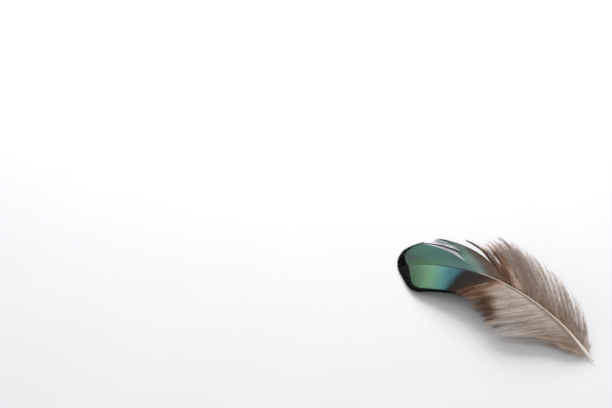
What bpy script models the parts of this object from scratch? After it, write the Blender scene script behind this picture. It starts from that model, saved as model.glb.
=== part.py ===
"""A pheasant's body feather lying on its underside: one grown piece of shaft, vanes and down.

Lengths are in millimetres until metres() turns a point into scene units.
The feather is laid out on its own shaft: "along" runs down the shaft from the vane's tip to the
quill, "across" is the distance to either side of it, positive on the far side.
"""

import math
import random

import bmesh
import bpy
import numpy as np

# The shaft: its length, how it arches off the ground, and how its heading swings from tip to quill
SHAFT_LENGTH = 62.0
TIP_HEIGHT = 0.40
QUILL_HEIGHT = 0.60
ARCH_HEIGHT = 5.6
TIP_HEADING = 24.25
QUILL_HEADING = -15.13
HEADING_SWING = 1.59
SHAFT_START = 0.5
TIP_RADIUS = 0.30
QUILL_RADIUS = 0.56
QUILL_END_RADIUS = 0.31
SHAFT_POINTS = 26
SHAFT_SIDES = 10

# Where the tip lies, so that the feather's box is centred on the origin
TIP_X = -28.47
TIP_Y = -5.28

# The vanes: a thin sheet that droops away from the shaft on both sides
VANE_THICKNESS = 0.5
DROOP = 0.06
SAG = 0.008
VANE_LIFT_POWER = 1.5
VANE_COLUMNS = 8
FIRST_BARB = 0.9
LAST_CLOSED_BARB = 22.6
LAST_NEAR_VANE_BARB = 34.0
CLOSED_ROWS = 15
NEAR_ONLY_ROWS = 5

# The barbs: where one leaves the shaft, where it ends along and across, and how far its end lifts
FAR_VANE_BARBS = (
    (0.9, -0.4, 0.0, 0.0),
    (3.0, -0.75, 1.95, 0.0),
    (6.0, -0.7, 3.8, 0.0),
    (10.0, -0.05, 6.35, 0.0),
    (14.0, 1.2, 8.4, 0.0),
    (18.0, 3.0, 10.25, 0.0),
    (22.6, 4.1, 11.1, 0.0),
    (31.0, 7.0, 14.2, 0.2),
    (32.8, 7.2, 14.5, 0.3),
)
FAR_DOWN_BARBS = (
    (31.0, 14.0, 14.6, 0.4),
    (36.0, 19.4, 14.9, 1.8),
    (41.0, 22.5, 15.4, 3.0),
    (46.0, 26.4, 14.4, 3.8),
    (50.0, 33.2, 12.6, 3.4),
    (53.5, 38.0, 11.6, 3.0),
    (56.0, 42.2, 9.8, 2.8),
    (58.2, 48.0, 8.6, 2.6),
    (60.0, 54.6, 5.4, 2.0),
    (61.2, 59.2, 2.0, 0.9),
)
NEAR_BARBS = (
    (0.9, -0.4, 0.0, 0.0),
    (3.0, 0.2, -1.6, 0.0),
    (6.0, 1.4, -3.6, 0.0),
    (9.5, 3.0, -6.0, 0.0),
    (13.0, 4.8, -8.0, 0.0),
    (17.0, 7.9, -9.3, 0.0),
    (21.5, 12.3, -9.2, 0.0),
    (25.0, 15.3, -9.1, 0.0),
    (29.5, 19.8, -8.9, 0.0),
    (34.0, 24.6, -9.8, 0.2),
    (40.0, 30.0, -12.0, 0.3),
    (45.5, 34.4, -14.2, 0.1),
    (51.0, 39.8, -14.8, 0.0),
    (54.0, 44.6, -10.6, 0.2),
    (57.0, 50.0, -7.0, 0.2),
    (59.3, 54.6, -5.2, 0.2),
    (61.2, 59.4, -2.4, 0.1),
)

# How far the vane's barbs bow, by where they leave the shaft
VANE_BOW_BASES = (18.0, 22.6, 31.0)
VANE_BOWS = (0.03, 0.06, 0.12)

# Slips that have come unzipped from the far vane: first and last barb, number of rows, how far the
# first and the last barb bow out further, and how far their ends part along the shaft
THIN_SLIP = (22.6, 23.6, 1, (0.06, 0.10), (-0.3, -0.4))
BROAD_SLIP = (23.6, 31.0, 6, (0.10, 0.0), (0.0, 0.0))
NARROW_SLIP = (31.0, 32.8, 1, (0.0, 0.0), (7.0, 7.2))
PARTING_START = 0.25

# The broad slip's first barbs are worn short
SHORTEST_BARB = 0.5
WEAR_POWER = 1.7

# Down: flattened locks that are narrow at the shaft, swell past their middle and taper to their ends
LOCK_WIDTH = 3.3
LOCK_THICKNESS = 1.0
LOCK_SIDES = 6
LOCK_POINTS = 6
LOCK_ROOT = 0.30
LOCK_END = 0.16
LOCK_SWELL_POWER = 0.85
LOCK_LIFT_POWER = 1.4
LOCK_BOW = 0.12
LAST_LOCK = 61.0

# The upper locks: how many on each side, where they start, and how they vary
UPPER_LOCKS = 15
FIRST_LOCK_FAR = 32.6
FIRST_LOCK_NEAR = 34.2
UPPER_REACH = (0.93, 1.03)
UPPER_STIR = 0.3
UPPER_WIDTHS = (0.75, 1.10)
UPPER_FULL_LENGTH = 12.0

# The under locks: they drop clear of the upper ones and sink to the ground
UNDER_LOCKS = 9
UNDER_FIRST_SHIFT = -1.0
UNDER_LAST_SHIFT = -2.0
UNDER_REACH = 0.80
UNDER_SINK = 0.9
UNDER_STIR = 0.5
UNDER_WIDTH = 0.9
UNDER_FULL_LENGTH = 10.0
UNDER_DROP = 1.1

SEED = 7
SAME_POINT = 1e-7


def metres(x, y, z):
    return ((x + TIP_X) / 1000, (y + TIP_Y) / 1000, z / 1000)


def shaft_line(count=240):
    """The shaft's centre line as distances, points and headings, from the tip to the quill."""
    share = np.linspace(0.0, 1.0, count)
    height = TIP_HEIGHT + (QUILL_HEIGHT - TIP_HEIGHT) * share + ARCH_HEIGHT * np.sin(math.pi * share)
    heading = np.radians(QUILL_HEADING + (TIP_HEADING - QUILL_HEADING) * (1 - share) ** HEADING_SWING)
    distance = share * SHAFT_LENGTH
    level = np.sqrt(1 - np.gradient(height, distance) ** 2)
    step = SHAFT_LENGTH / (count - 1)
    x = np.concatenate(([0.0], np.cumsum(level * np.cos(heading))[:-1] * step))
    y = np.concatenate(([0.0], np.cumsum(level * np.sin(heading))[:-1] * step))
    return distance, x, y, height, heading


LINE = shaft_line()


def on_shaft(along):
    """Centre and heading at a distance from the tip; past either end the line runs straight on."""
    distance, x, y, height, heading = LINE
    held = min(max(along, 0.0), SHAFT_LENGTH)
    turn = float(np.interp(held, distance, heading))
    past = along - held
    return (
        float(np.interp(held, distance, x)) + past * math.cos(turn),
        float(np.interp(held, distance, y)) + past * math.sin(turn),
        float(np.interp(held, distance, height)),
        turn,
    )


def surface(along, across, lift=0.0, clearance=VANE_THICKNESS / 2):
    """A point of the feather's middle surface, kept off the ground by the clearance."""
    x, y, height, turn = on_shaft(along)
    height = height - DROOP * abs(across) - SAG * across * across + lift
    return (
        x - across * math.sin(turn),
        y + across * math.cos(turn),
        max(height, clearance),
    )


def read_rows(rows, base):
    """The end and lift of the barb that leaves the shaft at base, on a smooth curve through the rows."""
    table = np.array(rows)
    bases = table[:, 0]
    slopes = np.gradient(table[:, 1:], bases, axis=0)
    k = int(np.clip(np.searchsorted(bases, base) - 1, 0, len(bases) - 2))
    gap = bases[k + 1] - bases[k]
    s = float(np.clip((base - bases[k]) / gap, 0.0, 1.0))
    return (
        (2 * s**3 - 3 * s**2 + 1) * table[k, 1:]
        + (s**3 - 2 * s**2 + s) * gap * slopes[k]
        + (3 * s**2 - 2 * s**3) * table[k + 1, 1:]
        + (s**3 - s**2) * gap * slopes[k + 1]
    )


def barb(base, end, share, bow):
    """Along and across at a share of a barb's length; the barb bows out before it turns to the tip."""
    dx = end[0] - base
    dy = end[1]
    side = -1.0 if dy < 0 else 1.0
    control = (base + dx / 2 + bow * dy * side, dy / 2 - bow * dx * side)
    a, b, c = (1 - share) ** 2, 2 * share * (1 - share), share**2
    return a * base + b * control[0] + c * end[0], b * control[1] + c * end[1]


def material(name, colour, roughness):
    made = bpy.data.materials.new(name)
    made.use_nodes = True
    shader = made.node_tree.nodes["Principled BSDF"]
    shader.inputs["Base Color"].default_value = (*colour, 1.0)
    shader.inputs["Roughness"].default_value = roughness
    shader.inputs["Metallic"].default_value = 0.0
    made.diffuse_color = (*colour, 1.0)
    return made


def new_object(name, mesh, finish, collection):
    made = bpy.data.objects.new(name, mesh)
    made.data.materials.append(finish)
    collection.objects.link(made)
    return made


def blade(sheet, rows, first, last, count, bows=(0.0, 0.0), partings=(0.0, 0.0), reach_of=None):
    """Adds a grid whose rows are barbs and whose columns run from the shaft to the outline.

    Inward of PARTING_START a barb holds to its neighbours; outward of it the barb may bow out
    further, part from them and end early.
    """
    grid = bmesh.ops.create_grid(sheet, x_segments=count, y_segments=VANE_COLUMNS, size=1.0)["verts"]
    for vert in grid:
        row = (vert.co.x + 1) / 2
        share = (vert.co.y + 1) / 2
        base = first + (last - first) * row
        opened = max(0.0, (share - PARTING_START) / (1 - PARTING_START))
        if reach_of and opened:
            share = PARTING_START + (reach_of(base) - PARTING_START) * opened
        bow = VANE_BOWS[0]
        if rows is FAR_VANE_BARBS:
            bow = float(np.interp(base, VANE_BOW_BASES, VANE_BOWS))
        bow += min(1.0, 3 * opened) * (bows[0] + (bows[1] - bows[0]) * row)
        end = read_rows(rows, base)
        along, across = barb(base, end, share, bow)
        along += opened**2 * (partings[0] + (partings[1] - partings[0]) * row)
        vert.co = metres(*surface(along, across, end[2] * share**VANE_LIFT_POWER))


def worn_reach(base):
    """The share of its full length that a barb of the broad slip still has."""
    first, last = BROAD_SLIP[:2]
    return 1 - (1 - SHORTEST_BARB) * ((last - base) / (last - first)) ** WEAR_POWER


def vane(name, finish):
    """Both vanes as one sheet that meets along the shaft, with the slips' splits in the far one."""
    sheet = bmesh.new()
    blade(sheet, FAR_VANE_BARBS, FIRST_BARB, LAST_CLOSED_BARB, CLOSED_ROWS)
    blade(sheet, NEAR_BARBS, FIRST_BARB, LAST_CLOSED_BARB, CLOSED_ROWS)
    blade(sheet, NEAR_BARBS, LAST_CLOSED_BARB, LAST_NEAR_VANE_BARB, NEAR_ONLY_ROWS)
    blade(sheet, FAR_VANE_BARBS, *THIN_SLIP)
    blade(sheet, FAR_VANE_BARBS, *BROAD_SLIP, worn_reach)
    blade(sheet, FAR_VANE_BARBS, *NARROW_SLIP)
    bmesh.ops.remove_doubles(sheet, verts=sheet.verts, dist=SAME_POINT)
    bmesh.ops.recalc_face_normals(sheet, faces=sheet.faces)
    mesh = bpy.data.meshes.new(name)
    sheet.to_mesh(mesh)
    sheet.free()
    made = new_object(name, mesh, finish, bpy.context.scene.collection)
    wall = made.modifiers.new("wall", "SOLIDIFY")
    wall.thickness = VANE_THICKNESS / 1000
    wall.offset = 0.0
    wall.use_even_offset = False
    return made


def swept(name, points, radii, profile, finish, collection):
    """A closed tube along the points: the profile is swept with the given radii, its flat side level."""
    curve = bpy.data.curves.new(name, "CURVE")
    curve.dimensions = "3D"
    curve.twist_mode = "Z_UP"
    curve.bevel_mode = "OBJECT"
    curve.bevel_object = profile
    curve.use_fill_caps = True
    spline = curve.splines.new("POLY")
    spline.points.add(len(points) - 1)
    for knot, point, radius in zip(spline.points, points, radii):
        knot.co = (*metres(*point), 1.0)
        knot.radius = radius
    guide = bpy.data.objects.new(name, curve)
    bpy.context.scene.collection.objects.link(guide)
    graph = bpy.context.evaluated_depsgraph_get()
    mesh = bpy.data.meshes.new_from_object(guide.evaluated_get(graph))
    bpy.data.objects.remove(guide)
    body = bmesh.new()
    body.from_mesh(mesh)
    bmesh.ops.remove_doubles(body, verts=body.verts, dist=SAME_POINT)
    bmesh.ops.recalc_face_normals(body, faces=body.faces)
    body.to_mesh(mesh)
    body.free()
    mesh.name = name
    mesh.materials.clear()
    return new_object(name, mesh, finish, collection)


def section(name, width, thickness, sides):
    """A closed oval outline that the tubes are swept from."""
    curve = bpy.data.curves.new(name, "CURVE")
    curve.dimensions = "2D"
    spline = curve.splines.new("POLY")
    spline.points.add(sides - 1)
    spline.use_cyclic_u = True
    half_width = width / 2 / 1000
    half_thickness = thickness / 2 / 1000
    for k, knot in enumerate(spline.points):
        turn = 2 * math.pi * k / sides
        knot.co = (half_width * math.cos(turn), half_thickness * math.sin(turn), 0.0, 1.0)
    made = bpy.data.objects.new(name, curve)
    made.hide_render = True
    made.display_type = "WIRE"
    bpy.context.scene.collection.objects.link(made)
    return made


def shaft(finish, collection):
    """The shaft, from a hair at the tip to the quill's round end."""
    profile = section("shaft_section", 2.0, 2.0, SHAFT_SIDES)
    points = []
    radii = []
    for k in range(SHAFT_POINTS):
        share = k / (SHAFT_POINTS - 1)
        x, y, height, _ = on_shaft(SHAFT_START + (SHAFT_LENGTH - SHAFT_START) * share)
        points.append((x, y, height))
        radii.append(TIP_RADIUS + (QUILL_RADIUS - TIP_RADIUS) * share)
    radii[-1] = QUILL_END_RADIUS
    return swept("shaft", points, radii, profile, finish, collection)


def lock(name, base, end, drop, width, profile, finish, collection):
    """One lock of down, swept along its barb; it drops below the surface just past the shaft."""
    points = []
    radii = []
    for k in range(LOCK_POINTS + 1):
        share = k / LOCK_POINTS
        along, across = barb(base, end, share, LOCK_BOW)
        swell = LOCK_ROOT + (1 - LOCK_ROOT) * math.sin(math.pi * share**LOCK_SWELL_POWER)
        radius = max(width * swell * (1 - share**4), LOCK_END)
        lift = end[2] * share**LOCK_LIFT_POWER - drop * min(1.0, 3 * share)
        clearance = LOCK_THICKNESS / 2 * radius
        points.append(surface(along, across, lift, clearance))
        radii.append(radius)
    return swept(name, points, radii, profile, finish, collection)


def upper_lock(name, base, rows, rng, profile, finish, collection):
    """A lock of the upper layer, which follows the barbs as far as they reach."""
    end = read_rows(rows, base)
    end[:2] = barb(base, end, rng.uniform(*UPPER_REACH), LOCK_BOW)
    end[2] += rng.uniform(-UPPER_STIR, UPPER_STIR)
    length = math.hypot(end[0] - base, end[1])
    width = rng.uniform(*UPPER_WIDTHS) * min(1.0, length / UPPER_FULL_LENGTH)
    lock(name, base, end, 0.0, width, profile, finish, collection)


def under_lock(name, base, rows, rng, profile, finish, collection):
    """A lock of the under layer, whose end sinks to the ground."""
    end = read_rows(rows, base)
    end[:2] = barb(base, end, UNDER_REACH, LOCK_BOW)
    _, _, height = surface(end[0], end[1])
    end[2] = -UNDER_SINK * height + rng.uniform(0.0, UNDER_STIR)
    length = math.hypot(end[0] - base, end[1])
    width = UNDER_WIDTH * min(1.0, length / UNDER_FULL_LENGTH)
    lock(name, base, end, UNDER_DROP, width, profile, finish, collection)


def down(finish, collection):
    """The downy part: an upper and an under layer of locks on each side of the shaft."""
    rng = random.Random(SEED)
    profile = section("lock_section", LOCK_WIDTH, LOCK_THICKNESS, LOCK_SIDES)
    sides = (
        ("far", FAR_DOWN_BARBS, FIRST_LOCK_FAR),
        ("near", NEAR_BARBS, FIRST_LOCK_NEAR),
    )
    for side, rows, first in sides:
        for k in range(UPPER_LOCKS):
            base = first + (LAST_LOCK - first) * k / (UPPER_LOCKS - 1)
            upper_lock(f"{side}_lock_{k + 1}", base, rows, rng, profile, finish, collection)
        for k in range(UNDER_LOCKS):
            span = LAST_LOCK + UNDER_LAST_SHIFT - first
            base = first + UNDER_FIRST_SHIFT + span * (k + 0.5) / UNDER_LOCKS
            under_lock(f"{side}_under_lock_{k + 1}", base, rows, rng, profile, finish, collection)


def feather():
    for old in list(bpy.data.objects):
        bpy.data.objects.remove(old)
    green = material("vane_green", (0.10, 0.28, 0.20), 0.45)
    horn = material("shaft_cream", (0.72, 0.60, 0.46), 0.40)
    taupe = material("down_taupe", (0.38, 0.30, 0.23), 0.90)
    grown = bpy.data.collections.new("grown_together")
    bpy.context.scene.collection.children.link(grown)
    body = vane("feather", green)
    shaft(horn, grown)
    down(taupe, grown)
    for part in grown.objects:
        part.hide_render = True
        part.display_type = "WIRE"
    join = body.modifiers.new("grown_together", "BOOLEAN")
    join.operation = "UNION"
    join.solver = "EXACT"
    join.operand_type = "COLLECTION"
    join.collection = grown
    join.material_mode = "TRANSFER"


feather()
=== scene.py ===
import math

import bmesh
import bpy
import numpy as np
from mathutils import Matrix, Vector


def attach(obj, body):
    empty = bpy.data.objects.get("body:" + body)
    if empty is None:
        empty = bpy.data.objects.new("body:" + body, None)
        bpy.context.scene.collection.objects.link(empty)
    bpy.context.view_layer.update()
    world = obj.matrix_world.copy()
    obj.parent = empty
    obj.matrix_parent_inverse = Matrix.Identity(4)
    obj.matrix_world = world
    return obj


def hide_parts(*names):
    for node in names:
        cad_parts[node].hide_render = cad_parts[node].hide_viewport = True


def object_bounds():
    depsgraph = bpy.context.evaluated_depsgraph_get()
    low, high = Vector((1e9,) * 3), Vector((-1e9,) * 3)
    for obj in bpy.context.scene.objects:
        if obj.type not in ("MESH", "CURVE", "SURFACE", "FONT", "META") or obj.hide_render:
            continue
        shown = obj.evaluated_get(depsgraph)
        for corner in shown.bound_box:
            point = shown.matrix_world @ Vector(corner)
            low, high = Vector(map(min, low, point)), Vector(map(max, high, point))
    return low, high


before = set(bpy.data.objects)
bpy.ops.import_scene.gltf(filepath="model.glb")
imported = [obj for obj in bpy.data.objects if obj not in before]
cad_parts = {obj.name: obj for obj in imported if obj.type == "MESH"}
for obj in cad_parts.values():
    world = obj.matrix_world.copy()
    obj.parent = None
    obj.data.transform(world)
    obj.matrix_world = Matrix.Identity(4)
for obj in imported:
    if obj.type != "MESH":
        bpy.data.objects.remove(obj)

# Lengths are in millimetres until a piece is made. What rises past SOFT_TOP is pressed softly to stay
# below TOP, just over the top of the feather's solid, and nothing sinks below GROUND.
CAD_LOW, CAD_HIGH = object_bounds()
MM = 0.001
HEADROOM = 0.15
SOFT_DEPTH = 1.0
TOP = CAD_HIGH.z / MM + HEADROOM
SOFT_TOP = TOP - SOFT_DEPTH
GROUND = 0.04

DENSE = 1.0

# What the random draws start from, for the loose barbs and webs, and for their barbules
SEED = 11
FLUFF_SEED = 50

# The shaft's line, as the solid has it
SHAFT_LENGTH = 62.0
TIP_HEIGHT = 0.40
QUILL_HEIGHT = 0.60
ARCH_HEIGHT = 5.6
TIP_HEADING = 24.25
QUILL_HEADING = -15.13
HEADING_SWING = 1.59
TIP_X = -28.47
TIP_Y = -5.28
DROOP = 0.06
SAG = 0.008

# The quill bends a little further to the near side than the solid does, and ends in a point
QUILL_BEND = 1.05
BENT_STRETCH = (50.0, 66.0)
QUILL_TIP = 63.3

# Where a barb leaves the shaft, where it ends along and across, and how far its end lifts
FAR_VANE_BARBS = (
    (0.9, -0.4, 0.0, 0.0),
    (3.0, -0.75, 1.95, 0.0),
    (6.0, -0.7, 3.8, 0.0),
    (10.0, -0.05, 6.35, 0.0),
    (14.0, 1.2, 8.4, 0.0),
    (18.0, 3.0, 10.25, 0.0),
    (22.6, 4.1, 11.1, 0.0),
    (31.0, 7.0, 14.2, 0.2),
    (32.8, 7.2, 14.5, 0.3),
)
FAR_DOWN_BARBS = (
    (31.0, 14.0, 14.6, 0.4),
    (36.0, 19.4, 14.9, 1.8),
    (41.0, 22.5, 15.4, 3.0),
    (46.0, 26.4, 14.4, 3.8),
    (50.0, 33.2, 12.6, 3.4),
    (53.5, 38.0, 11.6, 3.0),
    (56.0, 42.2, 9.8, 2.8),
    (58.2, 48.0, 8.6, 2.6),
    (60.0, 54.6, 5.4, 2.0),
    (61.2, 59.2, 2.0, 0.9),
)
NEAR_BARBS = (
    (0.9, -0.4, 0.0, 0.0),
    (3.0, 0.2, -1.6, 0.0),
    (6.0, 1.4, -3.6, 0.0),
    (9.5, 3.0, -6.0, 0.0),
    (13.0, 4.8, -8.0, 0.0),
    (17.0, 7.9, -9.3, 0.0),
    (21.5, 12.3, -9.2, 0.0),
    (25.0, 15.3, -9.1, 0.0),
    (29.5, 19.8, -8.9, 0.0),
    (34.0, 24.6, -9.8, 0.2),
    (40.0, 30.0, -12.0, 0.3),
    (45.5, 34.4, -14.2, 0.1),
    (51.0, 39.8, -14.8, 0.0),
    (54.0, 44.6, -10.6, 0.2),
    (57.0, 50.0, -7.0, 0.2),
    (59.3, 54.6, -5.2, 0.2),
    (61.2, 59.4, -2.4, 0.1),
)

# How far a barb bows out, as a share of its span, by where it leaves the shaft
FAR_VANE_BOWS = ((18.0, 0.03), (22.6, 0.06), (31.0, 0.12))
NEAR_VANE_BOW = 0.03
DOWN_BOW = 0.12

# Slips: first and last barb, how far they bow out further, how far their ends part along the shaft
THIN_SLIP = (22.72, 23.6, (0.115, 0.150), (-0.1, -0.3))
BROAD_SLIP = (23.62, 31.05, (0.10, 0.0), (0.0, 0.0))
NARROW_SLIP = (31.07, 32.8, (0.07, 0.07), (7.0, 7.2))

# The share of their length from which slips bow and part
PARTING_START = 0.27
NARROW_SLIP_PARTING_START = 0.33

# What is left of the broad slip's worn barbs, of which one in every few keeps a hair
WORN_REACH = ((23.7, 0.50), (25.6, 0.60), (27.0, 0.72), (28.4, 0.84), (29.8, 0.94), (30.6, 1.0))
BARBS_PER_HAIR = 3
HAIR_GAIN = (0.08, 0.38)
LONGEST_HAIR = 0.97

# How far the closed vanes go, and where the loose barbs start and end
FIRST_BARB = 0.9
LAST_CLOSED_BARB = 22.7
FIRST_LOOSENED_BARB = 25.0
LAST_NEAR_VANE_BARB = 32.4
FIRST_FAR_DOWN = 31.4
FIRST_NEAR_DOWN = 29.2
LAST_DOWN_BARB = 61.2
FIRST_FAR_UNDER = 32.0
FIRST_NEAR_UNDER = 33.0
LAST_UNDER_BARB = 59.0

# How high the centre lines of what touches the ground rest on it, and how softly they level out
WEB_REST = (0.16, 0.06)
DOWN_REST = (0.20, 0.25)

# The webs: how each barb overlaps the next, slants under its crest, swings and, where loose, strays
WEB_SEGMENTS = 14
BARB_SPACING = 0.20
WEB_THICKNESS = 0.10
CREST_PLACE = 0.22
CREST_HEIGHT = 0.06
WEB_OVERLAP = 1.12
WEB_SLANT = 0.06
WEB_SWING = 0.03
WEB_END = (0.85, 1.0)
WEB_END_THINNING = 0.6
STRAY = 0.02
LOOSE_STRAY = 0.12
LOOSE_THINNING = 0.30

# The down: loose barbs drawn together in locks, with barbules that stand off both their sides
DOWN_SPACING = 0.34
CROWDING = 1.3
CLUMPING = 0.35
CLUMPED_STRETCH = 6.0
RAMUS_SEGMENTS = 10
RAMUS_SIDES = 4
RAMUS_WIDTH = 0.10
BARBULE_SEGMENTS = 2
BARBULE_SIDES = 3
BARBULE_SPACING = 0.15
BARBULE_LENGTH = 1.9
BARBULE_WIDTH = 0.046

# The irregularities of loose barbs, each one's own and its lock's: how short they are cut, how far they
# rise, how far those of the under layer sink, how they wave and sway, and how their tones are made up
BARB_CUT = (0.86, 1.02)
LOCK_CUT = (0.90, 1.05)
BARB_RISE = 0.30
LOCK_RISE = 0.25
SUNKEN = (0.5, 0.95)
WAVES = 2.6
SWAY = 0.20
BARB_TONE = 0.55
LOCK_TONE = 0.45

# Stretches of the shaft, from none to all or the other way round: where its loose barbs are thicker and
# thicker set, stiff on the far and the near side, tangled, thinned out, and stained in a patch
THICK_RAMI = (38.0, 34.0)
THICK_SET = (40.0, 36.0)
STIFF_FAR = (36.0, 31.0)
STIFF_NEAR = (34.0, 28.0)
TANGLE_STARTS = (36.0, 39.0)
TANGLE_ENDS = (48.0, 44.0)
NEAR_THINNED = (42.5, 47.0)
PATCH_STARTS = (34.0, 34.8)
PATCH_ENDS = (37.2, 36.2)

# Small steps, as a share of a barb and in millimetres along the shaft, that show which way it runs
STEP_ON = 0.01
STEP_BESIDE = 0.02
STEP_ALONG = 0.05
TINY = 1e-12


def shaft_line(count=400):
    """The shaft's centre line: distances, points and headings from the tip to the quill."""
    share = np.linspace(0.0, 1.0, count)
    height = TIP_HEIGHT + (QUILL_HEIGHT - TIP_HEIGHT) * share + ARCH_HEIGHT * np.sin(np.pi * share)
    heading = np.radians(QUILL_HEADING + (TIP_HEADING - QUILL_HEADING) * (1 - share) ** HEADING_SWING)
    distance = share * SHAFT_LENGTH
    level = np.sqrt(1 - np.gradient(height, distance) ** 2)
    step = SHAFT_LENGTH / (count - 1)
    x = np.concatenate(([0.0], np.cumsum(level * np.cos(heading))[:-1] * step))
    y = np.concatenate(([0.0], np.cumsum(level * np.sin(heading))[:-1] * step))
    return distance, x, y, height, heading


LINE = shaft_line()


def surface(along, across, lift=0.0):
    """Points of the feather's middle surface, from places along and across it."""
    distance, x, y, height, heading = LINE
    held = np.clip(along, 0.0, SHAFT_LENGTH)
    turn = np.interp(held, distance, heading)
    past = along - held
    aside = across - QUILL_BEND * smooth_step(*BENT_STRETCH, along)
    z = np.interp(held, distance, height) - DROOP * np.abs(across) - SAG * across**2 + lift
    return np.stack(
        np.broadcast_arrays(
            TIP_X + np.interp(held, distance, x) + past * np.cos(turn) - aside * np.sin(turn),
            TIP_Y + np.interp(held, distance, y) + past * np.sin(turn) + aside * np.cos(turn),
            z,
        ),
        axis=-1,
    )


def settled(points, height, softness):
    """The points, those that would sink below a height levelled out softly just above it."""
    above = (points[..., 2] - height) / softness
    points[..., 2] = height + softness * np.logaddexp(0.0, above)
    return points


def follow(rows, place):
    """The value at a place, on straight lines through rows of (place, value)."""
    places, values = zip(*rows)
    return np.interp(place, places, values)


def read_rows(rows, base):
    """Ends and lifts of the barbs that leave the shaft at base, on a smooth curve through the rows."""
    table = np.array(rows)
    bases = table[:, 0]
    slopes = np.gradient(table[:, 1:], bases, axis=0)
    base = np.clip(base, bases[0], bases[-1])
    row = np.clip(np.searchsorted(bases, base) - 1, 0, len(bases) - 2)
    span = bases[row + 1] - bases[row]
    share = ((base - bases[row]) / span)[..., None]
    span = span[..., None]
    return (
        (2 * share**3 - 3 * share**2 + 1) * table[row, 1:]
        + (share**3 - 2 * share**2 + share) * span * slopes[row]
        + (3 * share**2 - 2 * share**3) * table[row + 1, 1:]
        + (share**3 - share**2) * span * slopes[row + 1]
    )


def barb(base, end, share, bow):
    """Along and across at a share of a barb's length; it bows out before it turns to the tip."""
    run = end[..., 0] - base
    spread = end[..., 1]
    side = np.where(spread < 0, -1.0, 1.0)
    bowed_along = base + run / 2 + bow * spread * side
    bowed_across = spread / 2 - bow * run * side
    by_root, by_middle, by_end = (1 - share) ** 2, 2 * share * (1 - share), share**2
    along = by_root * base + by_middle * bowed_along + by_end * end[..., 0]
    return along, by_middle * bowed_across + by_end * end[..., 1]


def unit(vectors):
    """The vectors, drawn out or in to a length of one."""
    return vectors / np.maximum(np.linalg.norm(vectors, axis=-1, keepdims=True), TINY)


def smooth_step(low, high, value):
    """0 at low and 1 at high, smooth in between; low may be the larger one."""
    share = np.clip((value - low) / (high - low), 0.0, 1.0)
    return share * share * (3 - 2 * share)


def template(shape):
    """The points and triangles of a bmesh shape, which is then freed.

    The operators may give the triangles in another order each time, so they are put in one order here.
    """
    bmesh.ops.recalc_face_normals(shape, faces=shape.faces)
    bmesh.ops.triangulate(shape, faces=shape.faces)
    shape.verts.index_update()
    points = np.array([vert.co[:] for vert in shape.verts])
    faces = np.array([[vert.index for vert in face.verts] for face in shape.faces])
    shape.free()
    faces = np.array([np.roll(face, -np.argmin(face)) for face in faces])
    return points, faces[np.lexsort(faces.T[::-1])]


def web_strand(segments):
    """A closed barb of a vane: X along it, Y across to its neighbour, Z up, with a crest near one side."""
    shape = bmesh.new()
    bmesh.ops.create_cube(shape, size=1.0)
    bmesh.ops.translate(shape, verts=shape.verts, vec=(0.5, 0.5, 0.0))
    rising = [edge for edge in shape.edges if abs(edge.verts[0].co.x - edge.verts[1].co.x) > 0.5]
    bmesh.ops.subdivide_edges(shape, edges=rising, cuts=segments - 1, use_grid_fill=True)
    top = [
        edge
        for edge in shape.edges
        if abs(edge.verts[0].co.y - edge.verts[1].co.y) > 0.5 and edge.verts[0].co.z > 0
    ]
    bmesh.ops.subdivide_edges(shape, edges=top, cuts=1, use_grid_fill=True)
    for vert in shape.verts:
        if 0.1 < vert.co.y < 0.9:
            vert.co.y = CREST_PLACE
            vert.co.z = 0.5 + CREST_HEIGHT / WEB_THICKNESS
    return template(shape)


def round_strand(segments, sides):
    """A closed thread of unit length along X and unit radius, drawn out to a point."""
    shape = bmesh.new()
    ring = bmesh.ops.create_circle(shape, segments=sides, radius=1.0, cap_ends=True)["verts"]
    upright = Matrix.Rotation(math.radians(90), 3, "Y")
    bmesh.ops.rotate(shape, verts=ring, cent=(0, 0, 0), matrix=upright)
    rim = list(shape.edges)
    for _ in range(segments):
        grown = bmesh.ops.extrude_edge_only(shape, edges=rim)["geom"]
        verts = [item for item in grown if isinstance(item, bmesh.types.BMVert)]
        rim = [item for item in grown if isinstance(item, bmesh.types.BMEdge)]
        bmesh.ops.translate(shape, verts=verts, vec=(1.0 / segments, 0, 0))
    bmesh.ops.pointmerge(shape, verts=verts, merge_co=(1.0, 0.0, 0.0))
    return template(shape)


def outward(points, faces):
    """The faces, turned over where the mapped strand's first copy has them inside out."""
    corner = points[0][faces]
    volume = np.einsum("ij,ij->i", corner[:, 0], np.cross(corner[:, 1], corner[:, 2])).sum()
    return faces if volume > 0 else faces[:, ::-1]


def stood(name, data):
    """A new object in the scene, at the origin and unturned."""
    made = bpy.data.objects.new(name, data)
    bpy.context.scene.collection.objects.link(made)
    return made


# The rim left free around a piece's map, as a share of it
MAP_RIM = 0.01


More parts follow.
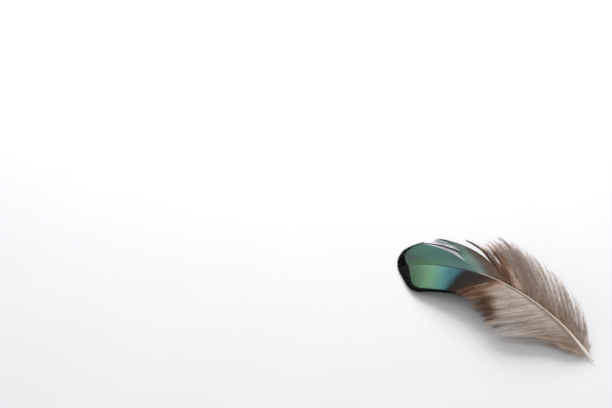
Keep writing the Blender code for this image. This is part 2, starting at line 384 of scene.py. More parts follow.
def joined(name, points, faces, flat, values, finish):
    """One piece from many copies of a strand, with a map of the feather seen from above."""
    copies, verts = points.shape[:2]
    faces = outward(points, faces)
    points = points.copy()
    high = (points[..., 2] - SOFT_TOP) / (TOP - SOFT_TOP)
    points[..., 2] = np.where(high > 0, SOFT_TOP + (TOP - SOFT_TOP) * np.tanh(high), points[..., 2])
    points[..., 2] = np.maximum(points[..., 2], GROUND)
    every = (faces[None, :, :] + verts * np.arange(copies)[:, None, None]).reshape(-1, 3)
    mesh = bpy.data.meshes.new(name)
    mesh.from_pydata((points * MM).reshape(-1, 3), [], every)
    for key, value in values.items():
        layer = mesh.attributes.new(key, "FLOAT", "POINT")
        spread = np.broadcast_to(value, (copies, verts)).astype(np.float32)
        layer.data.foreach_set("value", spread.ravel())
    flat = flat.reshape(-1, 2)
    low = flat.min(axis=0)
    places = MAP_RIM + (1 - 2 * MAP_RIM) * (flat - low) / (flat.max(axis=0) - low)
    corners = np.empty(len(mesh.loops), np.int32)
    mesh.loops.foreach_get("vertex_index", corners)
    layer = mesh.uv_layers.new(name="OFBake")
    layer.data.foreach_set("uv", places[corners].astype(np.float32).ravel())
    mesh.shade_smooth()
    mesh.materials.append(finish)
    piece = stood(name, mesh)
    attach(piece, "root")
    return piece


def barb_lengths(starts, fray, worn, rng):
    """How far each barb of a web reaches, 1 being its whole length."""
    count = len(starts)
    length = 1 + fray * rng.uniform(-1, 0.3, (count, 1))
    if not worn:
        return length
    left = follow(WORN_REACH, starts)
    hair = np.minimum(LONGEST_HAIR, left + rng.uniform(*HAIR_GAIN, (count, 1)))
    with_hair = np.arange(count)[:, None] % BARBS_PER_HAIR == 0
    return length * np.where(with_hair, hair, left)


def web(
    name,
    finish,
    rows,
    first,
    last,
    bows=(0.0, 0.0),
    partings=(0.0, 0.0),
    part_from=PARTING_START,
    loosen_from=None,
    thin_from=0.96,
    thin_to=0.95,
    fray=0.005,
    worn=False,
    seed=0,
):
    """Barbs hooked together side by side, each one reaching under its neighbour's crest.

    Two bows and two partings, for the first and the last barb, make a slip of the web. Its barbs open
    from the share part_from of their length on, and narrow from the share thin_from on, to thin_to.
    Those that leave the shaft after loosen_from stray more and more.
    """
    rng = np.random.default_rng(SEED + seed)
    strand, faces = web_strand(WEB_SEGMENTS)
    count = max(2, round((last - first) / BARB_SPACING))
    gap = (last - first) / count
    share, across, up = strand[:, 0], strand[:, 1], strand[:, 2]
    starts = (first + gap * np.arange(count))[:, None]
    length = barb_lengths(starts, fray, worn, rng)
    reach = share[None, :] * length
    loosened = 0.0 if loosen_from is None else smooth_step(loosen_from, last, starts)
    thinned = LOOSE_THINNING * loosened * share[None, :] * rng.uniform(0.3, 1.0, (count, 1))
    taper = 1 - (1 - thin_to) * smooth_step(thin_from, 1.0, share)[None, :]
    taper = taper * (WEB_OVERLAP - thinned)
    base = starts + gap * (0.5 + (across - 0.5)[None, :] * taper)
    nudge = (STRAY + LOOSE_STRAY * loosened) * rng.standard_normal((count, 1)) * reach**3

    def at(base, reach):
        """Points, places along and across, and ends of the barbs, at a reach along them."""
        end = read_rows(rows, base)
        row = np.clip((base - first) / (last - first), 0.0, 1.0)
        opened = np.clip((reach - part_from) / (1 - part_from), 0.0, 1.0)
        bow = follow(FAR_VANE_BOWS, base) if rows is FAR_VANE_BARBS else NEAR_VANE_BOW
        bow = bow + np.minimum(1.0, 3 * opened) * (bows[0] + (bows[1] - bows[0]) * row)
        along, side = barb(base, end, reach, bow)
        along = along + opened**2 * (partings[0] + (partings[1] - partings[0]) * row) + nudge
        return settled(surface(along, side, end[..., 2] * reach**1.5), *WEB_REST), along, side, end

    centre, along, side, end = at(base, reach)
    onward = at(base, reach + STEP_ON)[0] - centre
    sideways = at(base + STEP_BESIDE, reach)[0] - centre
    normal = unit(np.cross(sideways, onward))
    normal *= np.where(normal[..., 2:] < 0, -1.0, 1.0)
    thin = WEB_THICKNESS * (1 - WEB_END_THINNING * smooth_step(*WEB_END, share))
    swing = WEB_SWING * rng.standard_normal((count, 1)) * reach**2
    lowered = -WEB_SLANT * across[None, :]
    points = centre + normal * (up[None, :] * thin[None, :] + lowered + swing)[..., None]
    values = {
        "along": along,
        "across": side,
        "edge": (length - reach) * np.hypot(end[..., 0] - base, end[..., 1]),
        "barb": base,
        "tone": rng.uniform(0, 1, (count, 1)),
    }
    return joined(name, points, faces, centre[..., :2], values, finish)


def made_material(name, roughness, specular, sheen=0.0):
    """A new material with its shader; fixed numbers are set on the shader's own sockets."""
    made = bpy.data.materials.new(name)
    made.use_nodes = True
    tree = made.node_tree
    shader = tree.nodes["Principled BSDF"]
    shader.inputs["Roughness"].default_value = roughness
    shader.inputs["Specular IOR Level"].default_value = specular
    shader.inputs["Sheen Weight"].default_value = sheen
    shader.inputs["Sheen Roughness"].default_value = 0.5
    return made, tree, shader


def plug(tree, value, socket):
    """Sets a socket to a number or a colour, or links another node's output to it."""
    if isinstance(value, (int, float)):
        socket.default_value = value
    elif isinstance(value, tuple):
        socket.default_value = (*value, 1.0)
    else:
        tree.links.new(value, socket)


def attribute(tree, name):
    """A value that a piece's mesh carries at each of its points."""
    made = tree.nodes.new("ShaderNodeAttribute")
    made.attribute_name = name
    return made.outputs["Fac"]


def work(tree, operation, *values):
    """A sum, product or other working of one to three values."""
    made = tree.nodes.new("ShaderNodeMath")
    made.operation = operation
    for order, value in enumerate(values):
        plug(tree, value, made.inputs[order])
    return made.outputs[0]


def between(tree, value, low, high):
    """0 below low and 1 above high, smooth in between; falls instead when low is above high."""
    made = tree.nodes.new("ShaderNodeMapRange")
    made.interpolation_type = "SMOOTHSTEP"
    plug(tree, value, made.inputs["Value"])
    made.inputs["From Min"].default_value = min(low, high)
    made.inputs["From Max"].default_value = max(low, high)
    made.inputs["To Min"].default_value = 0.0 if low < high else 1.0
    made.inputs["To Max"].default_value = 1.0 if low < high else 0.0
    return made.outputs["Result"]


def linear(colour):
    """A colour as seen on a screen, 0 to 255, turned into linear light."""
    return tuple(
        part / 255 / 12.92 if part <= 10.3 else ((part / 255 + 0.055) / 1.055) ** 2.4
        for part in colour
    )


def ramp(tree, value, stops):
    """Colours, or single sizes, that follow a value: stops are (place, colour or size)."""
    low, high = stops[0][0], stops[-1][0]
    made = tree.nodes.new("ShaderNodeMapRange")
    plug(tree, value, made.inputs["Value"])
    made.inputs["From Min"].default_value = low
    made.inputs["From Max"].default_value = high
    colours = tree.nodes.new("ShaderNodeValToRGB")
    tree.links.new(made.outputs["Result"], colours.inputs["Fac"])
    elements = colours.color_ramp.elements
    while len(elements) < len(stops):
        elements.new(0.5)
    for element, (place, colour) in zip(elements, stops):
        element.position = (place - low) / (high - low)
        shown = linear(colour) if isinstance(colour, tuple) else (colour, colour, colour)
        element.color = (*shown, 1.0)
    return colours.outputs["Color"]


# A mix node's sockets for its share and its two colours, and the one that gives their mix
MIX_SHARE, MIX_FIRST, MIX_SECOND, MIX_RESULT = 0, 6, 7, 2


def mix(tree, share, first, second, way="MIX"):
    """Two colours mixed by a share of the second, or worked into each other another way."""
    made = tree.nodes.new("ShaderNodeMix")
    made.data_type = "RGBA"
    made.blend_type = way
    for socket, value in ((MIX_SHARE, share), (MIX_FIRST, first), (MIX_SECOND, second)):
        plug(tree, value, made.inputs[socket])
    return made.outputs[MIX_RESULT]


def noise(tree, where, detail=3.0, rough=0.5):
    """A cloudy pattern from 0 to 1."""
    made = tree.nodes.new("ShaderNodeTexNoise")
    made.inputs["Scale"].default_value = 1.0
    made.inputs["Detail"].default_value = detail
    made.inputs["Roughness"].default_value = rough
    tree.links.new(where, made.inputs["Vector"])
    return made.outputs["Fac"]


def spot(tree, x, y, x_scale, y_scale):
    """A place for a pattern, from two values and their scales."""
    made = tree.nodes.new("ShaderNodeCombineXYZ")
    tree.links.new(work(tree, "MULTIPLY", x, x_scale), made.inputs[0])
    tree.links.new(work(tree, "MULTIPLY", y, y_scale), made.inputs[1])
    return made.outputs[0]


def off_centre(tree, value, size):
    """A pattern's value from 0 to 1, turned into a swing of the given size to either side."""
    return work(tree, "MULTIPLY", work(tree, "SUBTRACT", value, 0.5), size)


def grey(tree, value):
    """A value as a grey, to shade a colour with."""
    made = tree.nodes.new("ShaderNodeCombineXYZ")
    for channel in range(3):
        tree.links.new(value, made.inputs[channel])
    return made.outputs[0]


def relief(tree, shader, height):
    """Ridges too fine to model, in a finish."""
    bump = tree.nodes.new("ShaderNodeBump")
    bump.inputs["Strength"].default_value = 0.3
    bump.inputs["Distance"].default_value = 0.05 * MM
    tree.links.new(height, bump.inputs["Height"])
    tree.links.new(bump.outputs["Normal"], shader.inputs["Normal"])


# How often patterns repeat per millimetre: from barb to barb and along a barb, along a barb and from
# barb to barb for the ridges, and along and across the feather for the clouds
BARB_STREAKS = (2.2, 0.14)
BARB_HAIRS = (7.0, 0.9)
BARB_RIDGES = (1.0, 4.0)
VANE_CLOUDS = (0.28, 0.28)
DOWN_CLOUDS = (0.4, 0.4)
DOWN_STREAKS = (1.5, 1.8)
SHAFT_STREAKS = (0.3, 9.0)

# Colours as seen on a screen, by place: millimetres along the shaft, or along and across it together
# The far vane's own green and brown, its green greyed by a painted sheen
FAR_GREEN_AND_SHEEN = (
    (-1.0, (98, 110, 103)),
    (6.0, (104, 122, 113)),
    (11.0, (101, 142, 127)),
    (14.0, (99, 140, 128)),
    (19.0, (100, 133, 130)),
    (22.0, (109, 140, 134)),
    (24.4, (126, 144, 136)),
    (25.8, (104, 110, 104)),
    (27.6, (106, 88, 78)),
    (36.0, (112, 84, 66)),
)
NEAR_GREEN = (
    (-1.0, (84, 108, 90)),
    (4.5, (86, 116, 94)),
    (6.5, (98, 136, 106)),
    (8.5, (114, 155, 120)),
    (10.3, (114, 162, 134)),
    (13.2, (92, 148, 144)),
    (15.5, (68, 118, 124)),
    (18.0, (52, 92, 108)),
    (24.0, (46, 64, 76)),
)
NEAR_BROWN = (
    (22.0, (44, 39, 41)),
    (25.0, (56, 44, 39)),
    (27.3, (76, 57, 45)),
    (28.7, (104, 78, 60)),
    (29.8, (140, 111, 88)),
    (30.8, (172, 150, 131)),
    (32.5, (192, 174, 158)),
)
INK = (9, 8, 11)
TIP_GREEN = (104, 144, 114)
SLIP_SHADE = (36, 42, 41)
COOL_TAUPE = (180, 168, 162)


def far_colours(tree, along, across, barbs, swing):
    """Grey-green at the tip, its grey partly a painted sheen, teal, a pale band, then brown, in bands that
    slant across the vane.
    """
    place = work(tree, "ADD", work(tree, "ADD", along, across), swing)
    colour = ramp(tree, place, FAR_GREEN_AND_SHEEN)
    by_shaft = work(tree, "MULTIPLY", between(tree, across, 4.2, 0.2), between(tree, along, 12.5, 8.5))
    return mix(tree, by_shaft, colour, linear(TIP_GREEN))


def slip_colours(tree, along, across, barbs, swing):
    """The thin slip: as the far vane by the shaft, then darker and darker."""
    colour = far_colours(tree, along, across, barbs, swing)
    darkening = work(tree, "MULTIPLY", between(tree, across, 4.0, 8.5), 0.9)
    return mix(tree, darkening, colour, linear(SLIP_SHADE))


def near_colours(tree, along, across, barbs, swing):
    """Bright green, teal and blue, then dark along the shaft; the last barbs turn brown and taupe."""
    green_place = work(tree, "ADD", work(tree, "MULTIPLY_ADD", across, 0.2, along), swing)
    colour = ramp(tree, green_place, NEAR_GREEN)
    brown_place = work(tree, "MULTIPLY_ADD", across, 0.35, barbs)
    brown_place = work(tree, "ADD", brown_place, work(tree, "MULTIPLY", swing, 0.4))
    dark_place = work(tree, "ADD", work(tree, "MULTIPLY_ADD", across, -0.25, along), swing)
    return mix(tree, between(tree, dark_place, 17.2, 20.2), colour, ramp(tree, brown_place, NEAR_BROWN))


def vane_finish(name, colours, margin):
    """Silky barbs: coloured by place, streaked barb by barb, with a near-black margin."""
    made, tree, shader = made_material(name, roughness=0.5, specular=0.06)
    along, across, edge, barbs = (attribute(tree, key) for key in ("along", "across", "edge", "barb"))
    streaks = noise(tree, spot(tree, barbs, edge, *BARB_STREAKS), detail=4.0, rough=0.65)
    broad = noise(tree, spot(tree, along, across, *VANE_CLOUDS), detail=2.0)
    fine = noise(tree, spot(tree, barbs, edge, *BARB_HAIRS), detail=2.0)
    swing = work(tree, "ADD", off_centre(tree, streaks, 2.6), off_centre(tree, broad, 2.2))
    colour = colours(tree, along, across, barbs, swing)
    shade = work(tree, "MULTIPLY_ADD", streaks, 0.75, 0.62)
    shade = work(tree, "MULTIPLY", shade, work(tree, "MULTIPLY_ADD", fine, 0.5, 0.75))
    shade = work(tree, "MULTIPLY", shade, work(tree, "MULTIPLY_ADD", attribute(tree, "tone"), 0.14, 0.93))
    colour = mix(tree, 1.0, colour, grey(tree, shade), "MULTIPLY")
    width = ramp(tree, barbs, tuple((place, size / WIDEST_MARGIN) for place, size in margin))
    inside = work(tree, "MULTIPLY_ADD", width, WIDEST_MARGIN, work(tree, "MULTIPLY", edge, -1.0))
    inside = work(tree, "ADD", inside, off_centre(tree, fine, 0.9))
    colour = mix(tree, between(tree, inside, -0.12, 0.22), colour, linear(INK))
    tree.links.new(colour, shader.inputs["Base Color"])
    ridges = tree.nodes.new("ShaderNodeTexWave")
    ridges.inputs["Scale"].default_value = 3.2
    ridges.inputs["Distortion"].default_value = 1.5
    tree.links.new(spot(tree, edge, barbs, *BARB_RIDGES), ridges.inputs["Vector"])
    relief(tree, shader, ridges.outputs["Fac"])
    return made


# The down's colours, by the share of brown in it
DOWN_COLOURS = (
    (0.0, (246, 240, 234)),
    (0.25, (232, 218, 206)),
    (0.5, (204, 181, 162)),
    (0.75, (152, 113, 85)),
    (1.0, (84, 52, 34)),
)


def down_finish():
    """Soft matte down, from pale taupe through brown to dark brown by the share of brown in it."""
    made, tree, shader = made_material("down_finish", roughness=0.9, specular=0.05, sheen=0.1)
    along, across, tone = (attribute(tree, key) for key in ("along", "across", "tone"))
    patches = noise(tree, spot(tree, along, across, *DOWN_CLOUDS), detail=2.0)
    on_barb = spot(tree, attribute(tree, "barb"), attribute(tree, "share"), *DOWN_STREAKS)
    streaks = noise(tree, on_barb, detail=3.0, rough=0.6)
    stain = work(tree, "ADD", attribute(tree, "brown"), off_centre(tree, patches, 0.16))
    stain = work(tree, "ADD", stain, off_centre(tree, streaks, 0.95))
    stain = work(tree, "ADD", stain, off_centre(tree, tone, 0.16))
    colour = ramp(tree, stain, DOWN_COLOURS)
    far_side = between(tree, across, 0.3, 2.0)
    cooler = work(tree, "MULTIPLY", far_side, between(tree, attribute(tree, "barb"), 34.0, 39.0))
    colour = mix(tree, work(tree, "MULTIPLY", cooler, 0.38), colour, linear(COOL_TAUPE))
    tree.links.new(colour, shader.inputs["Base Color"])
    return made


# The shaft's colours, by millimetres from the feather's tip: its shaded side, darker as painted shade, and
# the side in the light, lighter as a painted highlight
SHAFT_COLOURS = (
    (0.0, (20, 20, 20)),
    (1.6, (62, 56, 52)),
    (3.2, (62, 60, 54)),
    (4.4, (90, 122, 96)),
    (9.6, (88, 128, 104)),
    (11.4, (26, 46, 48)),
    (19.0, (24, 28, 30)),
    (22.0, (48, 38, 34)),
    (24.0, (84, 64, 50)),
    (29.0, (120, 92, 72)),
    (31.0, (184, 162, 142)),
    (52.0, (190, 170, 151)),
    (58.0, (226, 216, 202)),
    (61.0, (240, 234, 224)),
    (62.5, (222, 214, 200)),
)
SHAFT_HIGHLIGHT_COLOURS = (
    (20.0, (150, 120, 98)),
    (24.0, (226, 204, 184)),
    (29.5, (232, 210, 190)),
    (32.5, (190, 172, 155)),
    (44.0, (192, 173, 155)),
    (52.0, (222, 206, 186)),
    (62.0, (246, 240, 230)),
)


def shaft_finish():
    """Cream horn, turning dark where the shaft runs through the green vane, with lengthwise streaks and a
    painted highlight along its upper side.
    """
    made, tree, shader = made_material("shaft_finish", roughness=0.35, specular=0.5)
    along = attribute(tree, "along")
    streaks = noise(tree, spot(tree, along, attribute(tree, "across"), *SHAFT_STREAKS))
    colour = ramp(tree, work(tree, "ADD", along, off_centre(tree, streaks, 1.6)), SHAFT_COLOURS)
    upper_side = between(tree, attribute(tree, "across"), -0.3, 0.1)
    # A painted highlight: the upper side lightens from 21.5 mm and is fully lighter from 24.5 mm on
    painted_highlight = work(tree, "MULTIPLY", upper_side, between(tree, along, 21.5, 24.5))
    colour = mix(tree, painted_highlight, colour, ramp(tree, along, SHAFT_HIGHLIGHT_COLOURS))
    tree.links.new(colour, shader.inputs["Base Color"])
    relief(tree, shader, streaks)
    return made


# The shaft: how thick it is from its tip on, how its quill is pointed, where its oval turns round
SHAFT_SEGMENTS = 90
SHAFT_SIDES = 14
SHAFT_TIP = 0.3
TIP_RADIUS = 0.045
ADDED_RADIUS = 0.45
SWELLING = 1.7
POINT_LENGTH = 4.0
POINT_SHARE = 0.35
OVAL_SHARE = 0.86
ROUND_STRETCH = (50, 60)
GROOVE_DEPTH = 0.35


def shaft():
    """The shaft: a hair at the tip, an oval rod grooved beneath, and a round quill drawn to a point."""
    strand, faces = round_strand(SHAFT_SEGMENTS, SHAFT_SIDES)
    share = strand[:, 0]
    along = QUILL_TIP * (1 - share) + SHAFT_TIP * share
    radius = TIP_RADIUS + ADDED_RADIUS * (along / SHAFT_LENGTH) ** SWELLING
    radius *= POINT_SHARE + (1 - POINT_SHARE) * smooth_step(0.0, POINT_LENGTH, QUILL_TIP - along)
    across = strand[:, 1] * radius
    roundness = smooth_step(*ROUND_STRETCH, along)
    up = strand[:, 2] * radius * (OVAL_SHARE + (1 - OVAL_SHARE) * roundness)
    groove = np.where(strand[:, 2] < -0.8, GROOVE_DEPTH * radius, 0.0) * (1 - roundness)
    # It lies a little proud of the closed webs, more from their middle on, and level with the down
    lift = 0.04 + 0.08 * smooth_step(8.0, 14.0, along) - 0.14 * smooth_step(27.0, 36.0, along)
    centre = surface(along, 0 * along, lift)
    onward = unit(surface(along + STEP_ALONG, 0 * along) - surface(along, 0 * along))
    sideways = unit(np.cross((0, 0, 1.0), onward))
    above = np.cross(onward, sideways)
    points = centre + sideways * across[:, None] + above * (up + groove)[:, None]
    flat = np.stack((along, strand[:, 1] * 2 + strand[:, 2] * 0.7), axis=-1)
    values = {"along": along[None], "across": strand[:, 1][None]}
    return joined("shaft", points[None], faces, flat[None], values, shaft_finish())


def barb_family(rows, first, last, spacing, rng, locks, unruly, reach, sink):
    """The loose barbs of one side: where each starts and ends, and its small irregularities."""
    count = max(4, round((last - first) / spacing))
    base = first + (last - first) * np.linspace(0, 1, count) ** CROWDING
    base = base + rng.uniform(-0.3, 0.3, count) * spacing
    end = read_rows(rows, base)
    lock = np.round((base - first) / (last - first) * (locks - 1)).clip(0, locks - 1).astype(int)
    middle = first + lock / (locks - 1) * (last - first)
    clump = CLUMPING * smooth_step(first, first + CLUMPED_STRETCH, base)[:, None]
    end = end + clump * (read_rows(rows, middle) - end)
    cut = rng.uniform(*BARB_CUT, count) * rng.uniform(*LOCK_CUT, locks)[lock]
    cut = reach * np.minimum(1.0, cut)
    end[:, 0], end[:, 1] = barb(base, end, cut, DOWN_BOW)
    end[:, 2] += rng.normal(0.0, BARB_RISE, count) + rng.normal(0.0, LOCK_RISE, locks)[lock]
    if sink:
        rest = surface(end[:, 0], end[:, 1])[:, 2]
        end[:, 2] = -rest * rng.uniform(*SUNKEN, count)
    return {
        "base": base,
        "end": end,
        "bow": DOWN_BOW * (1 - unruly * rng.uniform(0, 1, count)),
        "sink": np.full(count, sink),
        "sway": rng.normal(0.0, SWAY, count),
        "swing": rng.uniform(0, 2 * np.pi, count),
        "tone": BARB_TONE * rng.uniform(0, 1, count) + LOCK_TONE * rng.uniform(0, 1, locks)[lock],
    }


def loose(family, which, share):
    """Points of loose barbs, with their places along and across."""
    base, end = family["base"][which], family["end"][which]
    along, across = barb(base, end, share, family["bow"][which])
    wave = family["sway"][which] * np.sin(WAVES * share * np.pi + family["swing"][which]) * share
    lift = end[..., 2] * share**1.4 - family["sink"][which] * np.minimum(1.0, 3 * share) + 0.6 * wave
    across = across + wave * np.sign(end[..., 1])
    return settled(surface(along, across, lift), *DOWN_REST), along, across


def frames(family, which, share):
    """The point, the ways onward, sideways and up, and the place, at shares of loose barbs."""
    point, along, across = loose(family, which, share)
    onward = unit(loose(family, which, share + STEP_ON)[0] - point)
    sideways = unit(np.cross((0.0, 0.0, 1.0), onward))
    return point, onward, sideways, np.cross(onward, sideways), along, across


# How brown the down is, from 0 to 1, by where its barbs leave the shaft: close to the shaft, and past a
# limit that is a share of the barb; what a patch of the far down has more; and how much less the under
# layer has, a paler colour painted as light against the shade that it lies in
PATCH_BROWN = 0.22
UNDER_PAINTED_LIGHT = 0.2
FAR_INNER_BROWN = (
    (31.0, 0.94),
    (33.6, 0.92),
    (34.8, 0.56),
    (36.2, 0.46),
    (37.4, 0.62),
    (41.0, 0.62),
    (44.0, 0.66),
    (49.0, 0.62),
    (52.0, 0.68),
    (57.0, 0.62),
    (61.0, 0.42),
)
FAR_BROWN_LIMIT = (
    (31.0, 0.72),
    (34.0, 0.74),
    (36.5, 0.84),
    (38.0, 1.10),
    (42.0, 1.10),
    (43.5, 0.72),
    (45.0, 0.50),
    (46.0, 0.38),
    (49.0, 0.30),
    (54.5, 0.36),
    (57.0, 0.62),
    (58.5, 0.85),
    (60.0, 0.80),
)
FAR_RIM_BROWN = (
    (31.0, 0.42),
    (38.0, 0.42),
    (43.0, 0.40),
    (45.0, 0.36),
)
NEAR_INNER_BROWN = (
    (28.0, 0.95),
    (29.8, 0.84),
    (31.4, 0.38),
    (33.0, 0.27),
    (38.0, 0.20),
    (44.0, 0.20),
    (51.0, 0.29),
    (55.0, 0.50),
    (58.0, 0.58),
    (61.0, 0.42),
)
NEAR_BROWN_LIMIT = (
    (29.3, 0.0),
    (31.0, 0.40),
    (33.0, 0.48),
    (35.0, 0.52),
    (37.0, 0.60),
    (39.5, 0.70),
    (41.5, 0.76),
    (43.5, 0.82),
    (46.0, 0.60),
    (57.0, 0.60),
)
NEAR_RIM_BROWN = (
    (30.0, 0.74),
    (33.0, 0.74),
    (36.0, 0.82),
    (38.0, 0.94),
    (42.5, 0.96),
    (44.0, 0.54),
    (46.0, 0.20),
    (52.0, 0.14),
    (57.0, 0.42),
)


def brownness(base, share, far):
    """How brown the down is, by barb and place along it: 0 is pale taupe, 1 the darkest brown."""
    inner = follow(FAR_INNER_BROWN, base)
    patch = smooth_step(*PATCH_STARTS, base) * smooth_step(*PATCH_ENDS, base)
    inner = inner + PATCH_BROWN * patch * smooth_step(0.32, 0.42, share)
    rim = follow(FAR_RIM_BROWN, base)
    limit = follow(FAR_BROWN_LIMIT, base)
    on_far = inner + (rim - inner) * smooth_step(limit - 0.08, limit + 0.14, share)
    inner = follow(NEAR_INNER_BROWN, base)
    rim = follow(NEAR_RIM_BROWN, base)
    limit = follow(NEAR_BROWN_LIMIT, base)
    on_near = inner + (rim - inner) * smooth_step(limit - 0.14, limit + 0.14, share)
    return np.where(far, on_far, on_near)


def rami(name, family, finish):
    """The stems of the loose barbs, each drawn out to a point."""
    strand, faces = round_strand(RAMUS_SEGMENTS, RAMUS_SIDES)
    count = len(family["base"])
    which = np.arange(count)[:, None]
    share = np.broadcast_to(strand[:, 0], (count, len(strand)))
    point, _, sideways, above, along, across = frames(family, which, share)
    base = family["base"][:, None]
    far = family["end"][:, 1:2] > 0
    thick = RAMUS_WIDTH / 2 * (1 - 0.6 * share) * (1 + 0.6 * far * smooth_step(*THICK_RAMI, base))
    points = point + sideways * (thick * strand[:, 1])[..., None]
    points = points + above * (thick * strand[:, 2])[..., None]
    flat = point[..., :2] + sideways[..., :2] * (0.1 * (strand[:, 1] + 0.5 * strand[:, 2]))[None, :, None]
    values = {
        "along": along,
        "across": across,
        "share": share,
        "barb": base,
        # The under layer is made paler: painted light against the shade that it lies in
        "brown": brownness(base, share, far) + 0.04 - UNDER_PAINTED_LIGHT * family["sink"][:, None],
        "tone": family["tone"][:, None],
    }
    return joined(name, points, faces, flat, values, finish)


# How much of the far down's barbules is missing towards the barbs' ends, by where they leave the shaft
FAR_THINNING = (
    (31.0, 0.35),
    (38.0, 0.1),
    (42.5, 0.1),
    (44.0, 0.62),
    (49.0, 0.62),
    (51.0, 0.74),
    (55.5, 0.74),
    (57.5, 0.3),
)

# How barbules stand off: their lean and its spread in degrees, what stiff and tangled ones lean less and
# more, how far they roll over and under, and how they curl and bend back, as shares of their length
BARBULE_LEAN = (28, 8)
STIFF_LEAN = 6
TANGLED_LEAN = (10, 30)
BARBULE_ROLL = 22
BARBULE_CURL = (0.2, 0.2)
BARBULE_BEND = 0.12
BARBULE_FLATNESS = 0.6


def barbule_places(family, spacing, rng):
    """The barb that each barbule stands on, if it is a far one, how stiff it is, and the place on it."""
    base = family["base"]
    stem = np.hypot(family["end"][:, 0] - base, family["end"][:, 1])
    thick_set = 1 + 0.5 * smooth_step(*THICK_SET, base)
    number = np.maximum(6, (stem / spacing * thick_set * DENSE).astype(int)) * 2
    which = np.repeat(np.arange(len(stem)), number)
    far = family["end"][which, 1] > 0
    stiff = np.where(far, smooth_step(*STIFF_FAR, base[which]), smooth_step(*STIFF_NEAR, base[which]))
    share = rng.uniform(0.04, 0.995 - 0.16 * stiff * far, len(which))
    share = np.maximum(share, 0.3 * stiff * ~far)
    on_far = follow(FAR_THINNING, base[which])
    on_near = 0.15 + 0.70 * smooth_step(*NEAR_THINNED, base[which])
    thinned = smooth_step(0.45, 1.0, share) * np.where(far, on_far, on_near)
    left = rng.uniform(0, 1, len(which)) > thinned
    return which[left], far[left], stiff[left], share[left]


def fluff(name, family, finish, seed, spacing):
    """The barbules: fine threads that stand off both sides of every loose barb."""
    rng = np.random.default_rng(SEED + seed)
    strand, faces = round_strand(BARBULE_SEGMENTS, BARBULE_SIDES)
    which, far, stiff, share = barbule_places(family, spacing, rng)
    count = len(which)
    base = family["base"][which]
    point, onward, sideways, above, along, across = frames(family, which, share)
    side = rng.choice((-1.0, 1.0), count)
    tangled = far * smooth_step(*TANGLE_STARTS, base) * smooth_step(*TANGLE_ENDS, base)
    tangled = tangled * smooth_step(0.85, 0.6, share)
    lean = rng.normal(*BARBULE_LEAN, count) - STIFF_LEAN * stiff
    lean = np.radians(lean + tangled * rng.normal(*TANGLED_LEAN, count))
    roll = np.radians(rng.normal(0, BARBULE_ROLL, count))
    off = sideways * (side * np.cos(roll))[:, None] + above * np.sin(roll)[:, None]
    way = onward * np.cos(lean)[:, None] + off * np.sin(lean)[:, None]
    length = BARBULE_LENGTH * rng.uniform(0.6, 1.15, count) * (1 - 0.45 * stiff)
    length *= 0.35 + 0.65 * smooth_step(0.0, 0.15, share)
    length *= 1 - 0.65 * smooth_step(0.6, 1.0, share)
    curl = rng.normal(*BARBULE_CURL, count)
    run = strand[:, 0][None, :, None]
    bend = onward * curl[:, None] - off * BARBULE_BEND
    middle = point[:, None] + length[:, None, None] * (run * way[:, None] + run**2 * bend[:, None])
    sideways_thread = unit(np.cross(way, above))
    upright_thread = np.cross(way, sideways_thread)
    wide = sideways_thread[:, None] * strand[:, 1][None, :, None]
    high = upright_thread[:, None] * BARBULE_FLATNESS * strand[:, 2][None, :, None]
    points = middle + BARBULE_WIDTH / 2 * (1 - 0.3 * run) * (wide + high)
    flat_way = unit(way[:, None, :2])
    flat_side = np.stack((-flat_way[..., 1], flat_way[..., 0]), axis=-1)
    flat = middle[..., :2] + flat_side * 0.05 * (strand[:, 1] + 0.5 * strand[:, 2])[None, :, None]
    # The under layer is made paler: painted light against the shade that it lies in
    brown = brownness(base, share, far) - UNDER_PAINTED_LIGHT * family["sink"][which]
    tone = 0.85 * family["tone"][which] + (0.15 + tangled) * rng.uniform(0, 1, count)
    values = {
        "along": along[:, None],
        "across": across[:, None],
        "share": share[:, None],
        "barb": base[:, None],
        "brown": brown[:, None],
        "tone": tone[:, None],
    }
    return joined(name, points, faces, flat, values, finish)


# Layers of down: name, barbs, first and last; then the barbs' spacing, locks, how unruly their bows are,
# how far they reach, how far they sink below the upper layer, and the spacing of the barbules
DOWN_LAYERS = (
    ("far_down", FAR_DOWN_BARBS, FIRST_FAR_DOWN, LAST_DOWN_BARB, (0.88, 17, 1.3, 1.0, 0.0, 1.32)),
    ("near_down", NEAR_BARBS, FIRST_NEAR_DOWN, LAST_DOWN_BARB, (0.88, 19, 0.7, 1.0, 0.0, 1.1)),
    ("far_under_down", FAR_DOWN_BARBS, FIRST_FAR_UNDER, LAST_UNDER_BARB, (1.5, 9, 0.5, 0.82, 1.0, 1.35)),
    ("near_under_down", NEAR_BARBS, FIRST_NEAR_UNDER, LAST_UNDER_BARB, (1.5, 9, 0.5, 0.82, 1.0, 1.35)),
)


def down():
    """The downy part: an upper and an under layer on each side of the shaft."""
    finish = down_finish()
    rng = np.random.default_rng(SEED)
    pieces = []
    for place, (name, rows, first, last, build) in enumerate(DOWN_LAYERS):
        apart, locks, unruly, reach, sink, wider = build
        family = barb_family(rows, first, last, apart * DOWN_SPACING, rng, locks, unruly, reach, sink)
        pieces.append(rami(f"{name}_barbs", family, finish))
        pieces.append(fluff(name, family, finish, FLUFF_SEED + place, BARBULE_SPACING * wider))
    return pieces


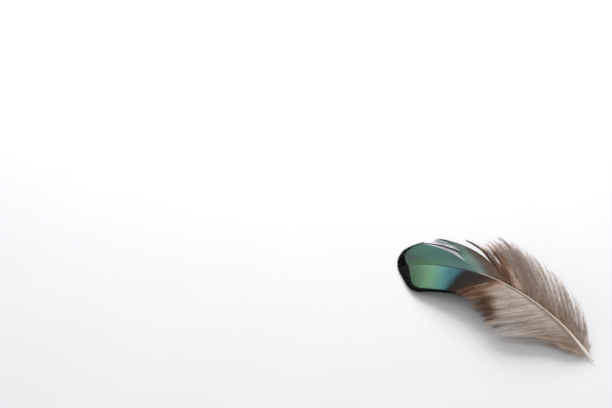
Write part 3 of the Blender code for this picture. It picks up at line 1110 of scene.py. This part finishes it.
# The black margin's width, by where the barbs leave the shaft
FAR_MARGIN = (
    (0.9, 4.0),
    (3.0, 3.7),
    (4.6, 3.0),
    (6.7, 2.1),
    (8.4, 1.6),
    (10.0, 1.2),
    (14.0, 0.9),
    (18.0, 0.65),
    (23.8, 0.4),
    (28.0, 0.9),
    (31.0, 2.4),
    (33.0, 1.8),
)
NEAR_MARGIN = (
    (0.9, 3.0),
    (3.2, 3.1),
    (5.1, 2.8),
    (7.2, 2.4),
    (9.3, 2.0),
    (12.0, 1.6),
    (16.0, 1.6),
    (18.1, 1.9),
    (21.0, 1.5),
    (25.0, 1.6),
    (28.0, 1.0),
    (31.0, 0.0),
)
WIDEST_MARGIN = 4.0


def vanes():
    """The closed vanes and the slips that have come away from the far one."""
    far = vane_finish("far_vane_finish", far_colours, FAR_MARGIN)
    slip = vane_finish("thin_slip_finish", slip_colours, FAR_MARGIN)
    near = vane_finish("near_vane_finish", near_colours, NEAR_MARGIN)
    return [
        web("far_vane", far, FAR_VANE_BARBS, FIRST_BARB, LAST_CLOSED_BARB, seed=1),
        web(
            "near_vane",
            near,
            NEAR_BARBS,
            FIRST_BARB,
            LAST_NEAR_VANE_BARB,
            loosen_from=FIRST_LOOSENED_BARB,
            seed=2,
        ),
        web("thin_slip", slip, FAR_VANE_BARBS, *THIN_SLIP, seed=3),
        web(
            "broad_slip",
            far,
            FAR_VANE_BARBS,
            *BROAD_SLIP,
            thin_from=0.8,
            thin_to=0.3,
            fray=0.02,
            worn=True,
            seed=4,
        ),
        web(
            "narrow_slip",
            far,
            FAR_VANE_BARBS,
            *NARROW_SLIP,
            part_from=NARROW_SLIP_PARTING_START,
            fray=0.10,
            seed=5,
        ),
    ]


# The floor, in metres from its middle to its sides, and the span of its faint grain
FLOOR_REACH = 3.0
FLOOR_GRAIN = ((0.0, (216, 216, 219)), (1.0, (220, 220, 223)))


def floor():
    """A plain pale surface that the feather lies on."""
    shape = bmesh.new()
    bmesh.ops.create_grid(shape, x_segments=4, y_segments=4, size=FLOOR_REACH)
    mesh = bpy.data.meshes.new("floor")
    shape.to_mesh(mesh)
    shape.free()
    made, tree, shader = made_material("floor_finish", roughness=0.6, specular=0.3)
    where = tree.nodes.new("ShaderNodeTexCoord").outputs["Object"]
    grain = tree.nodes.new("ShaderNodeTexNoise")
    grain.inputs["Scale"].default_value = 40.0
    tree.links.new(where, grain.inputs["Vector"])
    colour = ramp(tree, grain.outputs["Fac"], FLOOR_GRAIN)
    tree.links.new(colour, shader.inputs["Base Color"])
    mesh.materials.append(made)
    piece = stood("floor", mesh)


# The view: how the lens is turned, raised and held off the point of the floor at the picture's middle
LENS = 100.0
FILM_WIDTH = 36.0
CAMERA_TURN = 34.73
CAMERA_RISE = 41.8
CAMERA_DISTANCE = 487.05
AIM_X = -35.97
AIM_Y = 7.01

# The studio: how bright its white surroundings are, and each light's place and size in metres and its watts
SURROUNDINGS = 0.65
KEY_LIGHT = ((-0.34, 0.44, 0.32), 0.40, 5.0)
FILL_LIGHT = ((0.6, -0.2, 0.9), 0.7, 0.9)


def aimed(made, place, way):
    """Puts the camera or a light at a place, turned to look the given way."""
    made.location = place
    made.rotation_mode = "QUATERNION"
    made.rotation_quaternion = way.to_track_quat("-Z", "Y")


def camera():
    """The photograph's view of the feather."""
    turn, rise = math.radians(CAMERA_TURN), math.radians(CAMERA_RISE)
    back = Vector((math.sin(turn) * math.cos(rise), -math.cos(turn) * math.cos(rise), math.sin(rise)))
    aim = Vector(((AIM_X + TIP_X) * MM, (AIM_Y + TIP_Y) * MM, 0.0))
    data = bpy.data.cameras.new("camera")
    data.lens = LENS
    data.sensor_width = FILM_WIDTH
    data.clip_start = 0.01
    data.clip_end = 20.0
    made = stood("camera", data)
    aimed(made, aim + back * (CAMERA_DISTANCE * MM), -back)
    bpy.context.scene.camera = made


def softbox(name, place, size, watts):
    """A square soft light, turned to the feather."""
    data = bpy.data.lights.new(name, "AREA")
    data.shape = "SQUARE"
    data.size = size
    data.energy = watts
    aimed(stood(name, data), Vector(place), -Vector(place))


def studio():
    """White surroundings, a soft light above and behind the feather, and a weak one over its quill."""
    world = bpy.data.worlds.new("studio")
    world.use_nodes = True
    background = world.node_tree.nodes["Background"]
    background.inputs["Color"].default_value = (1.0, 1.0, 1.0, 1.0)
    background.inputs["Strength"].default_value = SURROUNDINGS
    bpy.context.scene.world = world
    bpy.context.scene.view_settings.view_transform = "Standard"
    softbox("key_light", *KEY_LIGHT)
    softbox("fill_light", *FILL_LIGHT)


pieces = [shaft()] + vanes() + down()
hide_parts("feather")
floor()
camera()
studio()
